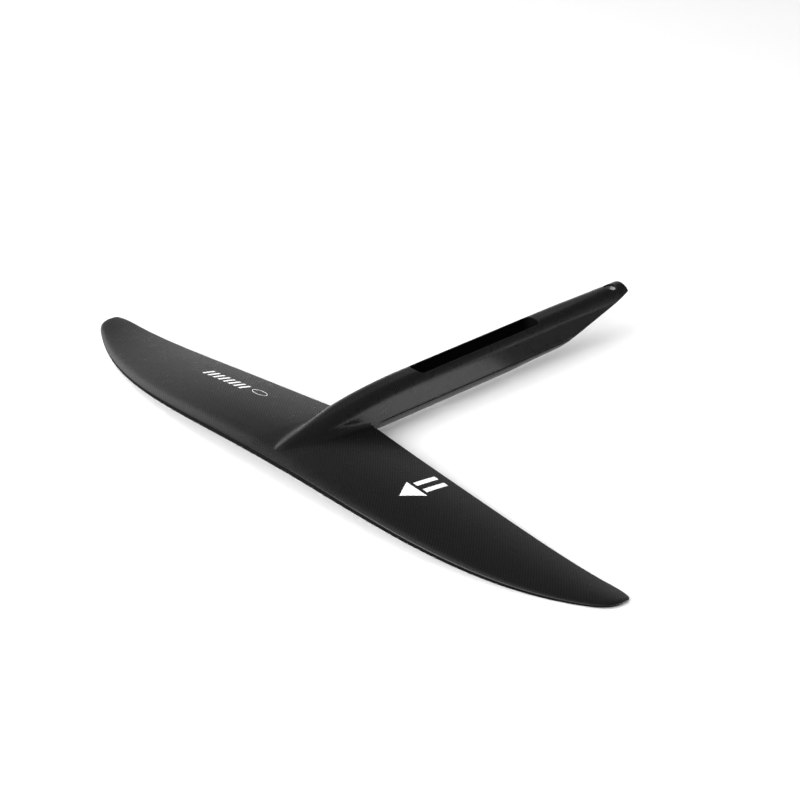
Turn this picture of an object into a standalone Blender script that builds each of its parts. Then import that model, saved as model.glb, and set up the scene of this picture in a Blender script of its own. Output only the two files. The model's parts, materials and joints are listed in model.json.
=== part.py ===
"""Hydrofoil front wing with its fuselage moulded on, in metres, +Z up.

The wing spans X, the nose points to -Y and the fuselage runs back along +Y.  The shape functions work in
wing coordinates: y counts back from the leading edge at the root, and z up from the chord plane.  Every
piece hangs on one empty, which moves the origin to the middle of the mast seat, at the pocket's bottom.
"""

import math

import bmesh
import bpy
import numpy as np

# Wing planform, as fractions u of the half span where a station is meant.
HALF_SPAN = 0.346
LEADING_SWEEP = 0.076
LEADING_POWER = 3.2
TRAILING_TIP_Y = 0.1022
TRAILING_FLARE = 0.0143
TRAILING_POWER = 4.5
TIP_LEADING = {"start": 0.95, "depth": 0.0155, "power": 3.0}
TIP_TRAILING = {"start": 0.93, "depth": 0.0067, "power": 2.0}
DROOP = {2: 0.0412, 4: -0.0107, 6: -0.0108}

# Aerofoil: thickness and camber as shares of the chord, the blunt half thickness of both edges, and how
# much fuller the section is at its nose, which fades out at NOSE_CHORD.
ROOT_THICKNESS = 0.120
TIP_THICKNESS = 0.085
CAMBER = 0.016
EDGE_HALF = 0.0005
NOSE_FULLNESS = 0.35
NOSE_CHORD = 0.30

# Fuselage: an arch above the parting line and a shallow keel below it.
ROOT_EDGE_X = 0.0245
BODY_HALF_WIDTH = 0.0147
TAIL_HALF_WIDTH = 0.0140
CREST_HEIGHT = 0.0300
TAIL_CREST_HEIGHT = 0.0302
CREST_RISE = 0.0248
CREST_LEVEL_Y = 0.170
CREST_NOSE_DROP = 0.012
CREST_NOSE_LENGTH = 0.004
SHOULDER_RADIUS = 0.0110
RIDGE_NOSE_HALF_WIDTH = 0.0085
RIDGE_FULL_WIDTH_Y = 0.105
KEEL_DEPTH = 0.0115
KEEL_RISE = 0.0105
KEEL_LEVEL_Y = 0.150
KEEL_TAPER_Y = 0.285
KEEL_TAIL_DEPTH = 0.0071
KEEL_RADIUS = 0.0105
ROOT_FILLET = 0.0098
WEB_RADIUS = 0.0050
WEB_START_Y = 0.010
TAIL_BLEND = 0.030
TAIL_Y = 0.466

# Slanted seat under the tail.
SCARF_Y = 0.3615
SCARF_SLOPE = 0.3016
WEDGE_Y = SCARF_Y + 0.0198

# Mast pocket, open at the top of the fuselage.
POCKET_Y = 0.2605
POCKET_LENGTH = 0.1620
POCKET_WIDTH = 0.0186
POCKET_CORNER = 0.0060
POCKET_FLOOR_Z = 0.0000
PLATE_THICKNESS = 0.0030
BOX_LENGTH = 0.1770
SCREW_SPACING = 0.0900

# Screw bushes.
SCREW_RADIUS = 0.0033
SEAT_RADIUS = 0.0062
BUSH_RADIUS = 0.0072
BUSH_HEIGHT = 0.0042
BUSH_RECESS = 0.0010
TAIL_SCREW_Y = 0.4508
TAIL_SEAT_RADIUS = 0.0054
TAIL_BUSH_RADIUS = 0.0062
TAIL_BUSH_HEIGHT = 0.0029
TAIL_BUSH_TOP = 0.0274
TAIL_HOLE_RADIUS = 0.0066

# Inside of the wing and the ridge.
CORE_END_U = 0.60
SPAR_CAP = 0.0009
RIDGE_CORE_Y = 0.050
RIDGE_CORE_BACK = 0.004

# Build.
SKIN = 0.0014
GAP = 0.0003
HALF_GAP = GAP / 2
CLEAR = 0.0008
WING_CLEAR = 0.0005
ARCH_COLUMNS = 12
WING_COLUMNS = 12
CHORD_ROWS = 14
LEVEL_ROWS = 9
WEDGE_ROWS = 2
TAIL_ROWS = 7
RING_SEGMENTS = 24
CUT_MARGIN = 0.010
CUT_DEPTH = 0.020

ROOT_U = ROOT_EDGE_X / HALF_SPAN

CARBON = {"color": (0.020, 0.021, 0.022), "roughness": 0.38, "metallic": 0.0}
LAMINATE = {"color": (0.030, 0.030, 0.032), "roughness": 0.55, "metallic": 0.0}
FOAM = {"color": (0.78, 0.70, 0.52), "roughness": 0.90, "metallic": 0.0}
RESIN = {"color": (0.16, 0.15, 0.12), "roughness": 0.50, "metallic": 0.0}
STEEL = {"color": (0.62, 0.62, 0.63), "roughness": 0.30, "metallic": 1.0}


# Planform and aerofoil.


def tip_round(u, corner):
    """How far an edge has turned in at station u, where it rounds off into the tip."""
    s = np.clip((u - corner["start"]) / (1 - corner["start"]), 0, 1)
    power = corner["power"]
    return corner["depth"] * (1 - (1 - s**power) ** (1 / power))


def leading_y(u):
    return LEADING_SWEEP * u**LEADING_POWER + tip_round(u, TIP_LEADING)


def trailing_y(u):
    return TRAILING_TIP_Y + TRAILING_FLARE * (1 - u) ** TRAILING_POWER - tip_round(u, TIP_TRAILING)


def droop(u):
    """How far the chord plane has dropped at station u, from the edge of the root."""
    return sum(share * (u**power - ROOT_U**power) for power, share in DROOP.items())


def station(x):
    """Span fraction of x. Between the root's two edges the wing keeps the section of the edge."""
    return max(abs(x) / HALF_SPAN, ROOT_U)


def half_thickness(t):
    """Shape of a thin symmetric section, 0 at both ends and 0.5 at its thickest."""
    curve = 0.2969 * math.sqrt(t) - 0.1260 * t - 0.3516 * t**2 + 0.2843 * t**3 - 0.1036 * t**4
    return 5 * curve * (1 + NOSE_FULLNESS * max(1 - t / NOSE_CHORD, 0) ** 2)


def surface(x, t, side, inset=0.0):
    """Point on the wing's upper (side 1) or lower (side -1) face, moved into the wing by inset."""
    u = station(x)
    front = leading_y(u)
    chord = trailing_y(u) - front
    thickness = chord * (ROOT_THICKNESS + (TIP_THICKNESS - ROOT_THICKNESS) * u)
    camber = 4 * CAMBER * chord * t * (1 - t)
    depth = thickness * half_thickness(t) + EDGE_HALF + side * camber
    depth = max(depth - inset, HALF_GAP)
    return np.array([x, front + t * chord, side * depth - droop(u)])


ROOT_CHORD = float(trailing_y(ROOT_U) - leading_y(ROOT_U))
ROOT_TRAILING_Y = float(trailing_y(ROOT_U))
WEB_END_Y = ROOT_TRAILING_Y + WEB_RADIUS


# Fuselage profiles.


def ease(value, start, end):
    """0 before start, 1 after end, and a smooth step between them."""
    s = min(max((value - start) / (end - start), 0.0), 1.0)
    return s * s * (3 - 2 * s)


def mix(first, second, share):
    return first + (second - first) * share


def crest_height(y):
    """Height of the fuselage's top line, which rises out of the wing behind the leading edge."""
    rise = CREST_RISE * max(1 - y / CREST_LEVEL_Y, 0) ** 2
    nose = CREST_NOSE_DROP * math.exp(-y / CREST_NOSE_LENGTH)
    return mix(CREST_HEIGHT, TAIL_CREST_HEIGHT, ease(y, SCARF_Y, TAIL_Y)) - rise - nose


def keel_depth(y):
    """Depth of the fuselage's bottom line below the chord plane."""
    rise = KEEL_RISE * max(1 - y / KEEL_LEVEL_Y, 0) ** 2
    return mix(KEEL_DEPTH, KEEL_TAIL_DEPTH, ease(y, KEEL_TAPER_Y, SCARF_Y + TAIL_BLEND)) - rise


def body_half_width(y):
    width = mix(RIDGE_NOSE_HALF_WIDTH, BODY_HALF_WIDTH, ease(y, 0, RIDGE_FULL_WIDTH_Y))
    return mix(width, TAIL_HALF_WIDTH, ease(y, SCARF_Y - TAIL_BLEND, TAIL_Y))


def scarf_z(y):
    """Height of the slanted seat under the tail."""
    return SCARF_SLOPE * (y - SCARF_Y) - KEEL_TAIL_DEPTH


def parting_z(y):
    return max(HALF_GAP, scarf_z(y))


def shoulder_radius(y):
    return mix(SHOULDER_RADIUS, TAIL_HALF_WIDTH, ease(y, SCARF_Y, TAIL_Y))


def edge_x(y):
    """Outer edge of the root, which narrows along the wing and turns a small corner onto the fuselage."""
    corner = BODY_HALF_WIDTH + WEB_RADIUS
    if y <= ROOT_TRAILING_Y:
        return mix(ROOT_EDGE_X, corner, ease(y, WEB_START_Y, ROOT_TRAILING_Y))
    if y >= WEB_END_Y:
        return body_half_width(y)
    return corner - math.sqrt(WEB_RADIUS**2 - (WEB_END_Y - y) ** 2)


def root_reach(y):
    """How far out the section runs along its base: to the wing's first column, or not behind the wing."""
    return edge_x(y) if y < WEB_END_Y else 0.0


def root_fillet(y, base, inset):
    """Radius of the turn between the fuselage's side and the wing, seen from inset under the surface."""
    fillet = min(ROOT_FILLET, max(edge_x(y) - body_half_width(y), 0))
    if fillet > 0 and base > HALF_GAP:
        return fillet + inset
    return max(fillet - inset, 0)


def arc(center, radius, start, end, steps=16):
    angles = np.linspace(start, end, steps)
    return [(center[0] + radius * math.cos(a), center[1] + radius * math.sin(a)) for a in angles]


def arch_profile(width, radius, top, base, fillet, reach):
    """Half section from the middle of the top, round the shoulder and down to base, then out to reach.

    width, radius and top are the arch's half width, shoulder radius and height.  A fillet turns it into
    the level base line.  Where the arch lies below the base line the section is that line.
    """
    height = top - base
    if height <= 0:
        return [(0.0, base), (reach, base)]
    radius = min(radius, width)
    points = [(0.0, top)]
    drop = radius - height + fillet
    if drop > 0:
        foot = width - radius + math.sqrt((radius + fillet) ** 2 - drop**2)
        turn = math.asin(drop / (radius + fillet))
    else:
        foot = width + fillet
        turn = 0.0
    points += arc((width - radius, top - radius), radius, math.pi / 2, turn)
    if fillet > 0:
        points += arc((foot, base + fillet), fillet, math.pi + turn, 1.5 * math.pi)
    else:
        points.append((foot, base))
    if reach > foot:
        points.append((reach, base))
    return points


def resample(points, count):
    """The same line with count + 1 points, equally far apart along it."""
    points = np.array(points)
    steps = np.linalg.norm(np.diff(points, axis=0), axis=1)
    along = np.concatenate([[0], np.cumsum(steps)])
    wanted = np.linspace(0, along[-1], count + 1)
    return np.stack([np.interp(wanted, along, points[:, axis]) for axis in (0, 1)], axis=1)


def upper_section(y, base, inset):
    """Half section of the fuselage's upper side at y, with its wing or parting line at base."""
    width = body_half_width(y) - inset
    radius = shoulder_radius(y) - inset
    top = crest_height(y) - inset
    return arch_profile(width, radius, top, base, root_fillet(y, base, inset), root_reach(y))


def lower_section(y, base, inset):
    """Half section of the keel at y, as depths below the chord plane, down to the scarf's plane."""
    width = body_half_width(y) - inset
    depth = keel_depth(y) - inset
    radius = min(KEEL_RADIUS, keel_depth(y)) - inset
    half = arch_profile(width, radius, depth, base, root_fillet(y, base, inset), root_reach(y))
    lowest = max(-scarf_z(y) - inset, base) if y > SCARF_Y else KEEL_DEPTH
    return [(x, min(z, lowest)) for x, z in half]


# Meshes.


def new_object(name, mesh, look):
    """Adds a mesh with its own material, hung on the foil's frame."""
    mesh.name = name
    obj = bpy.data.objects.new(name, mesh)
    bpy.context.scene.collection.objects.link(obj)
    obj.parent = FRAME
    material = bpy.data.materials.new(name)
    material.use_nodes = True
    shader = material.node_tree.nodes["Principled BSDF"]
    shader.inputs["Base Color"].default_value = (*look["color"], 1)
    shader.inputs["Roughness"].default_value = look["roughness"]
    shader.inputs["Metallic"].default_value = look["metallic"]
    mesh.materials.append(material)
    mesh.shade_smooth()
    mesh.set_sharp_from_angle(angle=math.radians(35))
    return obj


def mesh_of(points, faces):
    """Closed mesh with its faces pointing out."""
    mesh = bpy.data.meshes.new("piece")
    mesh.from_pydata([tuple(map(float, point)) for point in points], [], faces)
    shape = bmesh.new()
    shape.from_mesh(mesh)
    bmesh.ops.recalc_face_normals(shape, faces=shape.faces)
    shape.to_mesh(mesh)
    shape.free()
    return mesh


def skin_mesh(outer, inner, cells):
    """Closed mesh between two grids of points, over the given cells (row, column)."""
    cells = set(cells)
    index = {}
    points = []

    def vertex(grid, row, column):
        key = (grid, row, column)
        if key not in index:
            index[key] = len(points)
            points.append((outer, inner)[grid][row, column])
        return index[key]

    faces = []
    for row, column in sorted(cells):
        corners = [(row, column), (row, column + 1), (row + 1, column + 1), (row + 1, column)]
        faces.append([vertex(0, *corner) for corner in corners])
        faces.append([vertex(1, *corner) for corner in reversed(corners)])
        beside = [(row - 1, column), (row, column + 1), (row + 1, column), (row, column - 1)]
        for side, neighbour in enumerate(beside):
            if neighbour not in cells:
                first, second = corners[side], corners[(side + 1) % 4]
                faces.append([vertex(0, *second), vertex(0, *first), vertex(1, *first), vertex(1, *second)])
    return mesh_of(points, faces)


def loft_mesh(rings):
    """Closed mesh through a run of rings with the same number of points, with flat ends."""
    count = len(rings[0])
    points = [point for ring in rings for point in ring]
    faces = [list(range(count)), list(range(len(points) - count, len(points)))]
    for ring in range(len(rings) - 1):
        for spot in range(count):
            after = (spot + 1) % count
            first = ring * count
            faces.append([first + spot, first + after, first + count + after, first + count + spot])
    return mesh_of(points, faces)


def turned_mesh(profile):
    """Closed ring about the Z axis from a closed outline of (radius, z) points."""
    rings = []
    for step in range(RING_SEGMENTS):
        angle = 2 * math.pi * step / RING_SEGMENTS
        rings.append([(r * math.cos(angle), r * math.sin(angle), z) for r, z in profile])
    count = len(profile)
    points = [point for ring in rings for point in ring]
    faces = []
    for step in range(RING_SEGMENTS):
        following = (step + 1) % RING_SEGMENTS
        for spot in range(count):
            after = (spot + 1) % count
            faces.append(
                [
                    step * count + spot,
                    step * count + after,
                    following * count + after,
                    following * count + spot,
                ]
            )
    return mesh_of(points, faces)


def cylinder_mesh(radius, low, high):
    rings = []
    for z in (low, high):
        angles = np.linspace(0, 2 * math.pi, RING_SEGMENTS, endpoint=False)
        rings.append([(radius * math.cos(a), radius * math.sin(a), z) for a in angles])
    return loft_mesh(rings)


def rounded_outline(length, width, corner, steps=6):
    """Rectangle along Y with rounded corners, as (x, y) points about its middle."""
    half_x, half_y = width / 2 - corner, length / 2 - corner
    points = []
    for turn, (sign_x, sign_y) in enumerate(((1, 1), (-1, 1), (-1, -1), (1, -1))):
        center = (sign_x * half_x, sign_y * half_y)
        start = turn * math.pi / 2
        points += arc(center, corner, start, start + math.pi / 2, steps)
    return points


def prism_mesh(outline, low, high):
    return loft_mesh([[(x, y, z) for x, y in outline] for z in (low, high)])


def cut(obj, mesh, location):
    """Cuts mesh, placed at location, out of obj with a Boolean."""
    cutter = bpy.data.objects.new(obj.name + "_cutter", mesh)
    bpy.context.scene.collection.objects.link(cutter)
    cutter.parent = FRAME
    cutter.location = location
    cutter.hide_render = True
    cutter.display_type = "WIRE"
    boolean = obj.modifiers.new("cut", "BOOLEAN")
    boolean.operation = "DIFFERENCE"
    boolean.object = cutter


def pocket_cutter(low, grow=0.0):
    outline = rounded_outline(POCKET_LENGTH + 2 * grow, POCKET_WIDTH + 2 * grow, POCKET_CORNER + grow)
    return prism_mesh(outline, low, CREST_HEIGHT + CUT_MARGIN)


# Shells.


def chord_stations():
    return [(1 - math.cos(math.pi * row / CHORD_ROWS)) / 2 for row in range(CHORD_ROWS + 1)]


def span_stations(start):
    """Distances from the centre line of the columns outboard of start, closer together at the tip."""
    steps = np.arange(1, WING_COLUMNS + 1) / WING_COLUMNS
    return start + (HALF_SPAN - start) * np.sin(steps * math.pi / 2)


def body_stations(last):
    """Places along the fuselage behind the trailing edge, up to last."""
    web = [WEB_END_Y - WEB_RADIUS * math.cos(math.radians(angle)) for angle in (20, 40, 65)]
    level = np.linspace(WEB_END_Y, SCARF_Y, LEVEL_ROWS + 1)
    wedge = np.linspace(SCARF_Y, WEDGE_Y, WEDGE_ROWS + 1)[1:]
    tail = np.linspace(WEDGE_Y, TAIL_Y, TAIL_ROWS + 1)[1:]
    return [y for y in (*web, *level, *wedge, *tail) if y <= last]


def shell_mesh(side, section, last):
    """One moulded half: wing skin and fuselage skin in a piece. section gives the fuselage's profile."""
    chord = chord_stations()
    body = body_stations(last)
    middle = ARCH_COLUMNS + WING_COLUMNS
    rows = len(chord) + len(body)
    grids = []
    for inset in (0.0, SKIN):
        grid = np.zeros((rows, 2 * middle + 1, 3))
        stations = [surface(0, t, side, inset)[1:] for t in chord]
        for y in body:
            level = parting_z(y) if side > 0 else HALF_GAP
            stations.append((y, side * (level + (EDGE_HALF - HALF_GAP) * (inset == 0))))
        for row, (y, base) in enumerate(stations):
            half = resample(section(y, side * base, inset), ARCH_COLUMNS)
            for column, (x, z) in enumerate(half):
                grid[row, middle + column] = (x, y, side * z)
                grid[row, middle - column] = (-x, y, side * z)
        for row, t in enumerate(chord):
            for column, x in enumerate(span_stations(edge_x(stations[row][0])), ARCH_COLUMNS + 1):
                grid[row, middle + column] = surface(x, t, side, inset)
                grid[row, middle - column] = surface(-x, t, side, inset)
        grids.append(grid)
    cells = [(row, column) for row in range(CHORD_ROWS) for column in range(2 * middle)]
    for row in range(CHORD_ROWS, rows - 1):
        cells += [(row, column) for column in range(middle - ARCH_COLUMNS, middle + ARCH_COLUMNS)]
    return skin_mesh(grids[0], grids[1], cells)


def upper_shell():
    shell = new_object("upper_shell", shell_mesh(1, upper_section, TAIL_Y), CARBON)
    cut(shell, pocket_cutter(HALF_GAP), (0, POCKET_Y, 0))
    hole = cylinder_mesh(TAIL_HOLE_RADIUS, TAIL_BUSH_TOP - CUT_MARGIN, CREST_HEIGHT + CUT_MARGIN)
    cut(shell, hole, (0, TAIL_SCREW_Y, 0))


def lower_shell():
    shell = new_object("lower_shell", shell_mesh(-1, lower_section, WEDGE_Y), CARBON)
    for y in screw_places():
        hole = cylinder_mesh(BUSH_RADIUS + GAP, -KEEL_DEPTH - CUT_MARGIN, -HALF_GAP)
        cut(shell, hole, (0, y, 0))


# Wing inside.


def slab(name, span, chord, faces, look, columns=10, rows=3):
    """Solid filling a stretch of the wing. faces gives the insets from the upper and lower face."""
    xs = np.linspace(span[0], span[1], columns + 1)
    ts = np.linspace(chord[0], chord[1], rows + 1)
    top = np.array([[faces[0](x, t) for x in xs] for t in ts])
    bottom = np.array([[faces[1](x, t) for x in xs] for t in ts])
    cells = [(row, column) for row in range(rows) for column in range(columns)]
    new_object(name, skin_mesh(top, bottom, cells), look)


def under_skin(side, depth=0.0):
    """Face that lies depth under the skin's inner face on one side of the wing."""
    inset = SKIN + WING_CLEAR + depth

    def face(x, t):
        return surface(x, t, side, inset)

    return face


def wing_fillings():
    """Edge strips and foam cores of both halves, fore and aft of the spar."""
    reach = CORE_END_U * HALF_SPAN
    pieces = {
        "leading_edge_strip": ((0.045, 0.125), RESIN),
        "front_core": ((0.135, 0.265), FOAM),
        "rear_core": ((0.435, 0.640), FOAM),
        "trailing_edge_strip": ((0.650, 0.740), RESIN),
    }
    for name, (chord, look) in pieces.items():
        for hand, sign in (("left", -1), ("right", 1)):
            span = (sign * GAP, sign * reach)
            slab(f"{name}_{hand}", span, chord, (under_skin(1), under_skin(-1)), look)


def spar():
    """Two carbon caps with a web between them, through the wing from side to side."""
    reach = CORE_END_U * HALF_SPAN
    span = (-reach, reach)
    chord = (0.275, 0.425)
    upper = (under_skin(1), under_skin(1, SPAR_CAP))
    slab("spar_cap_upper", span, chord, upper, LAMINATE, 20, 2)
    lower = (under_skin(-1, SPAR_CAP), under_skin(-1))
    slab("spar_cap_lower", span, chord, lower, LAMINATE, 20, 2)
    web = (under_skin(1, SPAR_CAP + GAP), under_skin(-1, SPAR_CAP + GAP))
    slab("spar_web", span, (0.32, 0.38), web, LAMINATE, 20, 1)


# Fuselage inside.


def body_ring(y, bottom_from, top_inset=SKIN + CLEAR, count=10):
    """Closed ring at y inside the skin: the arch above, and below it what bottom_from(y, x) gives."""
    half = resample(upper_inside(y, top_inset), count)
    right = [(x, y, z) for x, z in half]
    left = [(-x, y, z) for x, z in half[:0:-1]]
    lower = bottom_from(y, half[-1][0])
    return right + lower + left


def upper_inside(y, inset):
    """Inner arch at y down to the chord plane or the scarf, without the wing and its fillet."""
    width = body_half_width(y) - inset
    shoulder = shoulder_radius(y) - inset
    base = max(parting_z(y) + HALF_GAP, wing_top(y) + 2 * GAP)
    return arch_profile(width, shoulder, crest_height(y) - inset, base, 0.0, 0.0)


def wing_top(y):
    """Height of the wing's own filling at the root, or 0 behind the trailing edge."""
    t = y / ROOT_CHORD
    return surface(0, t, 1, SKIN + WING_CLEAR)[2] if t < 1 else 0.0


def flat_bottom(y, edge):
    return []


def keel_bottom(y, edge):
    """Keel side of a ring: down from the right edge, along the keel and up to the left edge."""
    inset = SKIN + CLEAR
    depth = keel_depth(y) - inset
    width = body_half_width(y) - inset
    half = resample(arch_profile(width, KEEL_RADIUS - inset, depth, HALF_GAP, 0.0, 0.0), 6)
    right = [(x, y, -z) for x, z in half[::-1]]
    left = [(-x, y, -z) for x, z in half[1:]]
    return right + left


def fuselage_fillings():
    """Foam in the ridge over the wing and in the neck before the mast box."""
    places = np.linspace(RIDGE_CORE_Y, ROOT_CHORD - RIDGE_CORE_BACK, 6)
    ridge = [body_ring(y, flat_bottom) for y in places]
    new_object("ridge_core", loft_mesh(ridge), FOAM)
    front = POCKET_Y - BOX_LENGTH / 2 - GAP
    neck = [body_ring(y, keel_bottom) for y in np.linspace(WEB_END_Y, front, 5)]
    new_object("neck_core", loft_mesh(neck), FOAM)


def tail_block():
    """Solid laminate behind the mast box. It carries the tail screw, and the slanted seat is under it."""
    front = POCKET_Y + BOX_LENGTH / 2 + GAP
    level_end = SCARF_Y + (KEEL_TAIL_DEPTH + HALF_GAP) / SCARF_SLOPE
    places = (front, SCARF_Y, *np.linspace(level_end, TAIL_Y, 5))
    block = new_object("tail_block", loft_mesh([body_ring(y, flat_bottom) for y in places]), LAMINATE)
    bore = cylinder_mesh(TAIL_BUSH_RADIUS + GAP, TAIL_BUSH_TOP - TAIL_BUSH_HEIGHT - GAP, CREST_HEIGHT)
    cut(block, bore, (0, TAIL_SCREW_Y, 0))
    cut(block, cylinder_mesh(SCREW_RADIUS, 0, CREST_HEIGHT), (0, TAIL_SCREW_Y, 0))


def mast_box():
    """Tub that the mast's foot stands in, with a counterbore below for each screw bush."""
    ends = (POCKET_Y - BOX_LENGTH / 2, POCKET_Y, POCKET_Y + BOX_LENGTH / 2)
    box = new_object("mast_box", loft_mesh([body_ring(y, keel_bottom) for y in ends]), LAMINATE)
    cut(box, pocket_cutter(POCKET_FLOOR_Z - PLATE_THICKNESS - GAP), (0, POCKET_Y, 0))
    for y in screw_places():
        bore = cylinder_mesh(BUSH_RADIUS + GAP, -CUT_DEPTH, bush_base_z() + BUSH_HEIGHT + GAP)
        cut(box, bore, (0, y, 0))
        cut(box, cylinder_mesh(SCREW_RADIUS, -CUT_DEPTH, CREST_HEIGHT), (0, y, 0))


def mast_plate():
    """Plate on the tub's floor. The mast's foot stands on it, and the screws pass through it."""
    outline = rounded_outline(POCKET_LENGTH - 2 * GAP, POCKET_WIDTH - 2 * GAP, POCKET_CORNER - GAP)
    plate = new_object("mast_plate", prism_mesh(outline, -PLATE_THICKNESS, 0), LAMINATE)
    plate.location = (0, POCKET_Y, POCKET_FLOOR_Z)
    for y in screw_places():
        cut(plate, cylinder_mesh(SCREW_RADIUS, -CUT_DEPTH, CUT_DEPTH), (0, y, 0))


def screw_places():
    return (POCKET_Y - SCREW_SPACING / 2, POCKET_Y + SCREW_SPACING / 2)


def bush_base_z():
    """Height of the mouth of the mast screws' bushes, just inside the keel."""
    return -KEEL_DEPTH + BUSH_RECESS


def bush_mesh(radius, seat, height):
    """Countersunk bush that stands on z = 0 with its wide mouth down."""
    lip = seat - SCREW_RADIUS
    outline = [(seat, 0), (SCREW_RADIUS, lip), (SCREW_RADIUS, height), (radius, height), (radius, 0)]
    return turned_mesh(outline)


def bushes():
    for name, y in zip(("mast_screw_bush_front", "mast_screw_bush_rear"), screw_places()):
        bush = new_object(name, bush_mesh(BUSH_RADIUS, SEAT_RADIUS, BUSH_HEIGHT), STEEL)
        bush.location = (0, y, bush_base_z())
    mesh = bush_mesh(TAIL_BUSH_RADIUS, TAIL_SEAT_RADIUS, TAIL_BUSH_HEIGHT)
    tail = new_object("tail_screw_bush", mesh, STEEL)
    tail.location = (0, TAIL_SCREW_Y, TAIL_BUSH_TOP)
    tail.rotation_euler = (math.pi, 0, 0)


for thing in list(bpy.data.objects):
    bpy.data.objects.remove(thing, do_unlink=True)
FRAME = bpy.data.objects.new("foil_frame", None)
bpy.context.scene.collection.objects.link(FRAME)
FRAME.location = (0, -POCKET_Y, -POCKET_FLOOR_Z)

upper_shell()
lower_shell()
wing_fillings()
spar()
fuselage_fillings()
mast_box()
mast_plate()
tail_block()
bushes()
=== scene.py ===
"""Looks of the hydrofoil front wing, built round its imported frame, in metres, +Z up.

The frame's origin is the middle of the mast seat. The shape functions work in wing coordinates, as the
CAD does: y counts back from the leading edge at the root and z up from the chord plane, so the finished
points move forward by POCKET_Y.
"""

import json
import math

import bmesh
import bpy
import numpy as np
from mathutils import Matrix, Vector

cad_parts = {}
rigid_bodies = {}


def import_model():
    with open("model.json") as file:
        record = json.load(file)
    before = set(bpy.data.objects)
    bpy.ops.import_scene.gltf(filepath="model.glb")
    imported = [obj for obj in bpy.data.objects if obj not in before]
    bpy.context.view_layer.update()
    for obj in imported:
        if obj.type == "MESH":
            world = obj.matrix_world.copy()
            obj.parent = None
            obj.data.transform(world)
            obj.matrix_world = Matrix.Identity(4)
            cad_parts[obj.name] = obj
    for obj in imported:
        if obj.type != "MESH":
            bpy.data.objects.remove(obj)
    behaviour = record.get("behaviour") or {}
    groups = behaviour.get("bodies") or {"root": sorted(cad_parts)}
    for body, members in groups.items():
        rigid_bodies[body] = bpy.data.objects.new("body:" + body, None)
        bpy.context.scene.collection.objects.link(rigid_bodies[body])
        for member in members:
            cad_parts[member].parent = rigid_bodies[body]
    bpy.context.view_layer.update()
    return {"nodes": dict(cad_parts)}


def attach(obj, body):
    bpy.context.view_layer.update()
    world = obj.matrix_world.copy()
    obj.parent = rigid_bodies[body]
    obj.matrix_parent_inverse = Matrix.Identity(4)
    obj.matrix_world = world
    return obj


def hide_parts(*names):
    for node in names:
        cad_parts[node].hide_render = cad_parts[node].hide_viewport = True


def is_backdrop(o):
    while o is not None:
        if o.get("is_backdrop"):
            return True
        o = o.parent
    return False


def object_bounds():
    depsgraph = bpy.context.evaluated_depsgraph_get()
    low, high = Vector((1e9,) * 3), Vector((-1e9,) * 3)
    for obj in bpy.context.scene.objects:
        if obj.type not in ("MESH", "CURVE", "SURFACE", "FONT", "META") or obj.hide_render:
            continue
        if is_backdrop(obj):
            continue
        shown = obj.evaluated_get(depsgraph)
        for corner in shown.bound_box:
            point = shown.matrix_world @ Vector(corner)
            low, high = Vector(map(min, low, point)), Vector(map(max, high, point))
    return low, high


# Wing planform, as in the CAD.
HALF_SPAN = 0.346
LEADING_SWEEP = 0.076
LEADING_POWER = 3.2
TRAILING_TIP_Y = 0.1022
TRAILING_FLARE = 0.0143
TRAILING_POWER = 4.5
TIP_LEADING = {"start": 0.95, "depth": 0.0155, "power": 3.0}
TIP_TRAILING = {"start": 0.93, "depth": 0.0067, "power": 2.0}
DROOP = {2: 0.0412, 4: -0.0107, 6: -0.0108}

# Aerofoil, as in the CAD. The blunt edges are rounded off within EDGE_ROUND of the chord.
ROOT_THICKNESS = 0.120
TIP_THICKNESS = 0.085
CAMBER = 0.016
EDGE_HALF = 0.0005
EDGE_ROUND = 0.006
NOSE_FULLNESS = 0.35
NOSE_CHORD = 0.30

# Fuselage, as in the CAD, except that the lower shell runs on to where the scarf ends it, at WEDGE_Y.
ROOT_EDGE_X = 0.0245
BODY_HALF_WIDTH = 0.0147
TAIL_HALF_WIDTH = 0.0140
CREST_HEIGHT = 0.0300
TAIL_CREST_HEIGHT = 0.0302
CREST_RISE = 0.0248
CREST_LEVEL_Y = 0.170
CREST_NOSE_DROP = 0.012
CREST_NOSE_LENGTH = 0.004
SHOULDER_RADIUS = 0.0110
RIDGE_NOSE_HALF_WIDTH = 0.0085
RIDGE_FULL_WIDTH_Y = 0.105
KEEL_DEPTH = 0.0115
KEEL_RISE = 0.0105
KEEL_LEVEL_Y = 0.150
KEEL_TAPER_Y = 0.285
KEEL_TAIL_DEPTH = 0.0071
KEEL_RADIUS = 0.0105
TAIL_BLEND = 0.030
ROOT_FILLET = 0.0098
WEB_RADIUS = 0.0050
WEB_START_Y = 0.010
TAIL_Y = 0.466
SCARF_Y = 0.3615
SCARF_SLOPE = 0.3016
SKIN = 0.0014
GAP = 0.0003
WEDGE_Y = SCARF_Y + KEEL_TAIL_DEPTH / SCARF_SLOPE - GAP

# Mast pocket and screws, as in the CAD.
POCKET_Y = 0.2605
POCKET_LENGTH = 0.1620
POCKET_WIDTH = 0.0186
POCKET_CORNER = 0.0060
PLATE_THICKNESS = 0.0030
BOX_LENGTH = 0.1770
SCREW_SPACING = 0.0900
SCREW_RADIUS = 0.0033
SEAT_RADIUS = 0.0062
BUSH_RADIUS = 0.0072
BUSH_HEIGHT = 0.0042
BUSH_RECESS = 0.0010
TAIL_SCREW_Y = 0.4508
TAIL_SEAT_RADIUS = 0.0054
TAIL_BUSH_RADIUS = 0.0062
TAIL_BUSH_HEIGHT = 0.0029
TAIL_BUSH_TOP = 0.0274
TAIL_HOLE_RADIUS = 0.0066

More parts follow.
